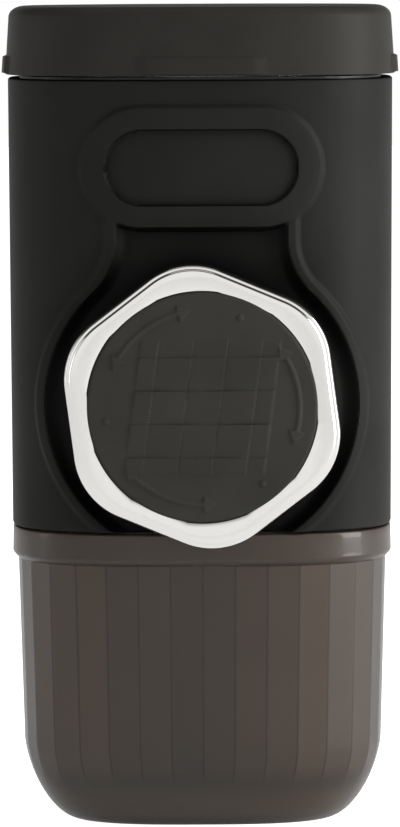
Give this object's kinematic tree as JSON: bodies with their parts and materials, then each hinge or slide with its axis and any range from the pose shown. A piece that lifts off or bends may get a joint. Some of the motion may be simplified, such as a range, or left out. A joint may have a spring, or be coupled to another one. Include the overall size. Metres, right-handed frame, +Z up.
{
  "type": "handheld manual espresso maker",
  "caption": "Hand-pumped portable espresso maker with square-round black body, hexagonal piston knob, lift-off water tank, screwed outlet head and smoke drinking cup",
  "frame": {"origin": "centre of the flat foot of the drinking cup, on the surface that the maker stands on", "axes": "+Z up along the body towards the tank cap, -Y towards the piston knob, +X to the right seen from the knob side"},
  "size_m": [0.0752, 0.0699, 0.1537],
  "materials": {
    "cap_plastic": "fine matte moulded plastic, near-black",
    "tank_clear": "clear grey moulded plastic",
    "silicone": "translucent grey silicone",
    "chassis_plastic": "dark grey moulded plastic",
    "stainless": "stainless steel",
    "spring_steel": "drawn spring wire",
    "shell_plastic": "soft-touch black moulded plastic",
    "gland_plastic": "natural low-friction plastic",
    "seal_rubber": "black rubber",
    "gasket_rubber": "red-brown silicone gasket",
    "trim_metal": "satin chrome trim",
    "pad_rubber": "matte black grip pad",
    "outlet_plastic": "black moulded plastic",
    "cup_smoke": "smoke-brown translucent plastic"
  },
  "bodies": {
    "main": {"tank_socket": "chassis_plastic", "inlet_screen": "stainless", "inlet_valve": "silicone", "body_shell": "shell_plastic", "pump_body": "chassis_plastic", "rod_gland": "gland_plastic", "bayonet_ring": "stainless", "piston_spring": "spring_steel", "outlet_valve_spring": "spring_steel", "group_deck": "chassis_plastic", "chassis_screws": "stainless", "shower_screen": "stainless", "basket_gasket": "gasket_rubber"},
    "tank_gasket": {"tank_seal": "silicone"},
    "tank": {"tank_cap": "cap_plastic", "tank_vessel": "tank_clear", "vent_valve": "silicone"},
    "piston": {"piston_rod": "stainless", "piston_seal": "seal_rubber", "knob_screw": "stainless"},
    "knob": {"knob_hub": "chassis_plastic", "knob_ring": "trim_metal", "knob_pad": "pad_rubber"},
    "outlet_valve": {"outlet_valve_ball": "stainless"},
    "basket": {"filter_basket": "stainless"},
    "outlet": {"outlet_head": "outlet_plastic", "outlet_nozzle": "silicone"},
    "cup": {"cup": "cup_smoke"},
    "scoop": {"scoop": "outlet_plastic"}
  },
  "joints": [
    {"name": "tank_turn", "type": "hinge", "parent": "main", "child": "tank_gasket", "pos_m": [0, 0, 0.1054], "axis": [0, 0, 1], "range_deg": [0, 60]},
    {"name": "tank_lift", "type": "slide", "parent": "tank_gasket", "child": "tank", "axis": [0, 0, 1], "range_m": [0, 0.04]},
    {"name": "piston_stroke", "type": "slide", "parent": "main", "child": "piston", "axis": [0, -1, 0], "range_m": [0, 0.016], "deforming": ["piston_spring"]},
    {"name": "piston_lock", "type": "hinge", "parent": "piston", "child": "knob", "pos_m": [0, 0, 0.0796], "axis": [0, -1, 0], "range_deg": [0, 45]},
    {"name": "outlet_valve_lift", "type": "slide", "parent": "main", "child": "outlet_valve", "axis": [0, 0, -1], "range_m": [0, 0.0012], "stiffness_N_per_m": 60, "springref_m": -0.002, "deforming": ["outlet_valve_spring"]},
    {"name": "basket_drop", "type": "slide", "parent": "main", "child": "basket", "axis": [0, 0, -1], "range_m": [0, 0.004]},
    {"name": "head_turn", "type": "hinge", "parent": "basket", "child": "outlet", "pos_m": [0, 0, 0.041], "axis": [0, 0, -1], "range_deg": [0, 360]},
    {"name": "cup_pull", "type": "slide", "parent": "main", "child": "cup", "axis": [0, 0, -1], "range_m": [0, 0.045]},
    {"name": "scoop_lift", "type": "slide", "parent": "cup", "child": "scoop", "axis": [0, 0, 1], "range_m": [0, 0.0025]}
  ],
  "couplings": [
    {"joint": "head_turn", "follows": "basket_drop", "rad_per_m": 1570.8}
  ]
}
